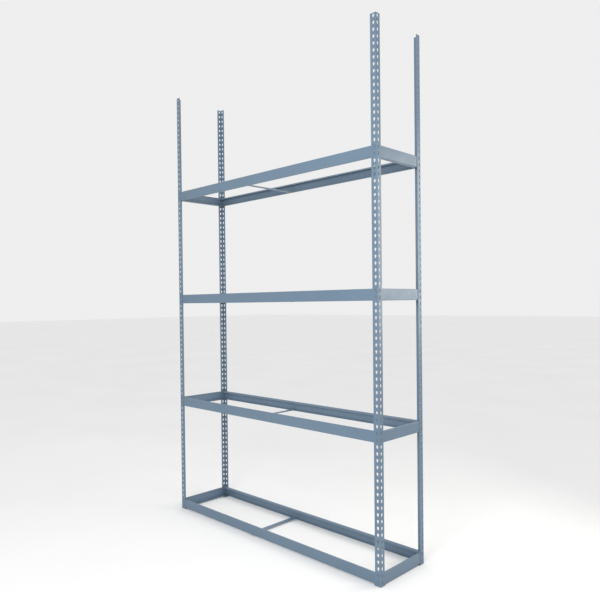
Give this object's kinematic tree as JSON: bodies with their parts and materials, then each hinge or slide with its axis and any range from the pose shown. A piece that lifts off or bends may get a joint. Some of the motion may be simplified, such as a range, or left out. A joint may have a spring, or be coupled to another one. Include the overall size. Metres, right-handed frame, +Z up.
{
  "type": "tyre storage rack",
  "caption": "Tall boltless steel rack with slotted angle posts, riveted beams hooked in at each level, and an open tyre bay above each pair of long beams.",
  "frame": {"origin": "on the floor, at the middle of the rack's width and depth", "axes": "+Z up, +X to the right along the width as seen from the front, front at -Y"},
  "size_m": [1.835, 0.4634, 3.2027],
  "materials": {
    "powder_coat": "semi-gloss blue-grey powder coat",
    "zinc_plate": "bright zinc plate"
  },
  "bodies": {
    "uprights": {"post_front_left": "powder_coat", "post_front_right": "powder_coat", "post_rear_left": "powder_coat", "post_rear_right": "powder_coat", "foot_plate_front_left": "powder_coat", "foot_plate_front_right": "powder_coat", "foot_plate_rear_left": "powder_coat", "foot_plate_rear_right": "powder_coat"},
    "long_beams_1": {"front_beam_level_1": "powder_coat", "rear_beam_level_1": "powder_coat", "tie_level_1": "powder_coat", "tie_screw_front_level_1": "zinc_plate", "tie_screw_rear_level_1": "zinc_plate", "tie_nut_front_level_1": "zinc_plate", "tie_nut_rear_level_1": "zinc_plate"},
    "left_end_1": {"left_end_beam_level_1": "powder_coat"},
    "right_end_1": {"right_end_beam_level_1": "powder_coat"},
    "long_beams_2": {"front_beam_level_2": "powder_coat", "rear_beam_level_2": "powder_coat", "tie_level_2": "powder_coat", "tie_screw_front_level_2": "zinc_plate", "tie_screw_rear_level_2": "zinc_plate", "tie_nut_front_level_2": "zinc_plate", "tie_nut_rear_level_2": "zinc_plate"},
    "left_end_2": {"left_end_beam_level_2": "powder_coat"},
    "right_end_2": {"right_end_beam_level_2": "powder_coat"},
    "long_beams_3": {"front_beam_level_3": "powder_coat", "rear_beam_level_3": "powder_coat", "tie_level_3": "powder_coat", "tie_screw_front_level_3": "zinc_plate", "tie_screw_rear_level_3": "zinc_plate", "tie_nut_front_level_3": "zinc_plate", "tie_nut_rear_level_3": "zinc_plate"},
    "left_end_3": {"left_end_beam_level_3": "powder_coat"},
    "right_end_3": {"right_end_beam_level_3": "powder_coat"},
    "long_beams_4": {"front_beam_level_4": "powder_coat", "rear_beam_level_4": "powder_coat", "tie_level_4": "powder_coat", "tie_screw_front_level_4": "zinc_plate", "tie_screw_rear_level_4": "zinc_plate", "tie_nut_front_level_4": "zinc_plate", "tie_nut_rear_level_4": "zinc_plate"},
    "left_end_4": {"left_end_beam_level_4": "powder_coat"},
    "right_end_4": {"right_end_beam_level_4": "powder_coat"}
  },
  "joints": [
    {"name": "long_beams_1_lift", "type": "slide", "parent": "uprights", "child": "long_beams_1", "axis": [0, 0, 1], "range_m": [0, 0.009]},
    {"name": "left_end_1_lift", "type": "slide", "parent": "uprights", "child": "left_end_1", "axis": [0, 0, 1], "range_m": [0, 0.009]},
    {"name": "right_end_1_lift", "type": "slide", "parent": "uprights", "child": "right_end_1", "axis": [0, 0, 1], "range_m": [0, 0.009]},
    {"name": "long_beams_2_lift", "type": "slide", "parent": "uprights", "child": "long_beams_2", "axis": [0, 0, 1], "range_m": [0, 0.009]},
    {"name": "left_end_2_lift", "type": "slide", "parent": "uprights", "child": "left_end_2", "axis": [0, 0, 1], "range_m": [0, 0.009]},
    {"name": "right_end_2_lift", "type": "slide", "parent": "uprights", "child": "right_end_2", "axis": [0, 0, 1], "range_m": [0, 0.009]},
    {"name": "long_beams_3_lift", "type": "slide", "parent": "uprights", "child": "long_beams_3", "axis": [0, 0, 1], "range_m": [0, 0.009]},
    {"name": "left_end_3_lift", "type": "slide", "parent": "uprights", "child": "left_end_3", "axis": [0, 0, 1], "range_m": [0, 0.009]},
    {"name": "right_end_3_lift", "type": "slide", "parent": "uprights", "child": "right_end_3", "axis": [0, 0, 1], "range_m": [0, 0.009]},
    {"name": "long_beams_4_lift", "type": "slide", "parent": "uprights", "child": "long_beams_4", "axis": [0, 0, 1], "range_m": [0, 0.009]},
    {"name": "left_end_4_lift", "type": "slide", "parent": "uprights", "child": "left_end_4", "axis": [0, 0, 1], "range_m": [0, 0.009]},
    {"name": "right_end_4_lift", "type": "slide", "parent": "uprights", "child": "right_end_4", "axis": [0, 0, 1], "range_m": [0, 0.009]}
  ]
}
